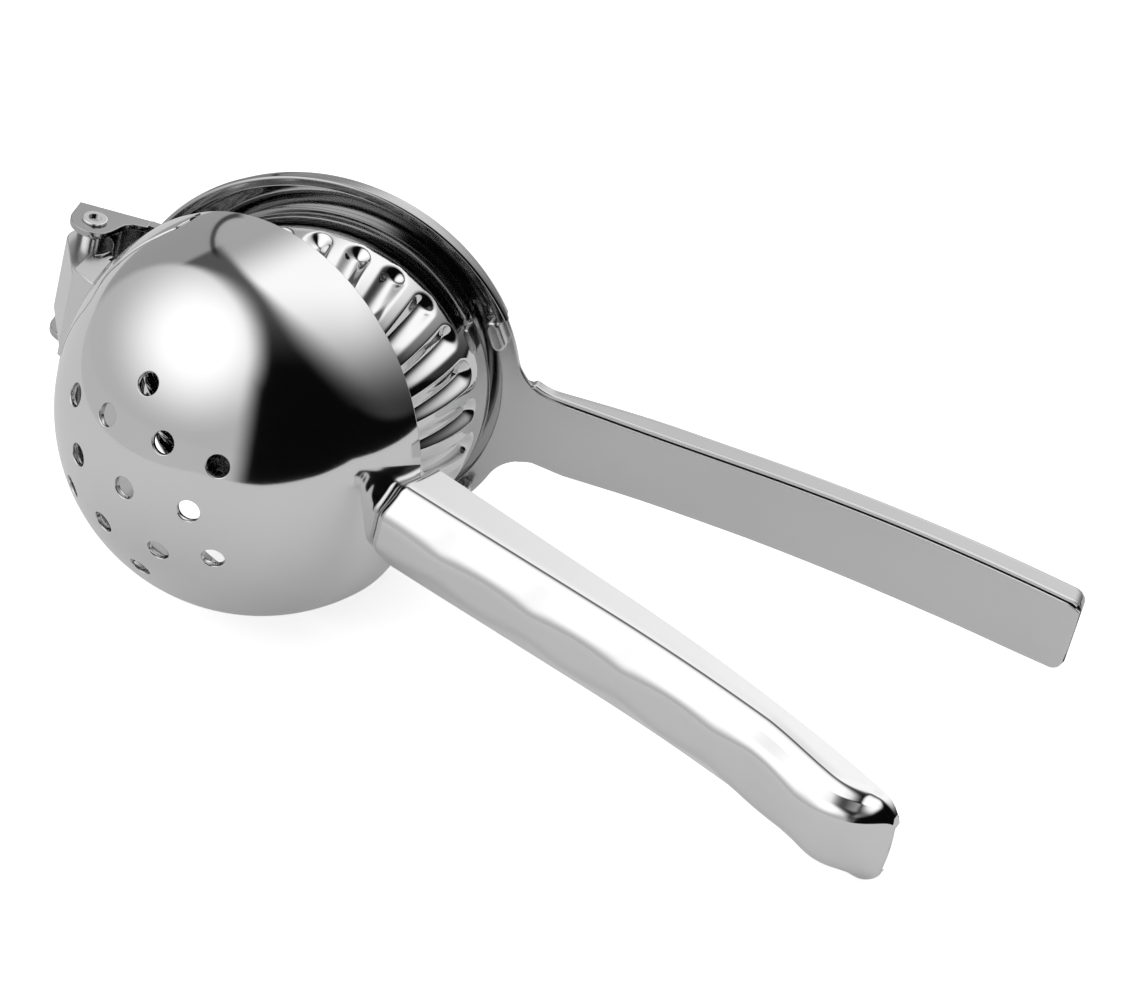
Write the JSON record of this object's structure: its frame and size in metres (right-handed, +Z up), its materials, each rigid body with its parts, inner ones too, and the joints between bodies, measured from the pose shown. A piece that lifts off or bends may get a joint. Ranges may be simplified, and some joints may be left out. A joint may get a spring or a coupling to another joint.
{
  "type": "hinged lemon squeezer",
  "caption": "Hand citrus press: a perforated half-sphere bowl and a ribbed press dome in a flanged pan, hinged by a rivet and squeezed by two hollow handles.",
  "frame": {"origin": "centre of the footprint, on the table the open tool lies on", "axes": "+X towards the handle tips, +Y from the bowl half to the press half, +Z up"},
  "size_m": [0.1936, 0.1122, 0.0748],
  "materials": {
    "polished_steel": "polished stainless steel",
    "satin_steel": "fine satin stainless steel"
  },
  "bodies": {
    "bowl_half": {"strainer_bowl": "polished_steel", "lug_saddle": "polished_steel", "hinge_lug": "satin_steel", "grip_shell": "polished_steel", "grip_plate": "satin_steel"},
    "press_half": {"press_pan": "polished_steel", "press_dome": "polished_steel", "lever_plate": "satin_steel", "lever_shell": "polished_steel", "stop_tab_upper": "satin_steel", "stop_tab_lower": "satin_steel", "bracket_foot": "satin_steel", "hinge_bracket": "satin_steel", "hinge_rivet": "polished_steel"}
  },
  "joints": [
    {"name": "squeeze_hinge", "type": "hinge", "parent": "bowl_half", "child": "press_half", "pos_m": [-0.08853, -0.01728, 0.04513], "axis": [0.1961, -0.0444, 0.9796], "range_deg": [-22.7, 85]}
  ]
}
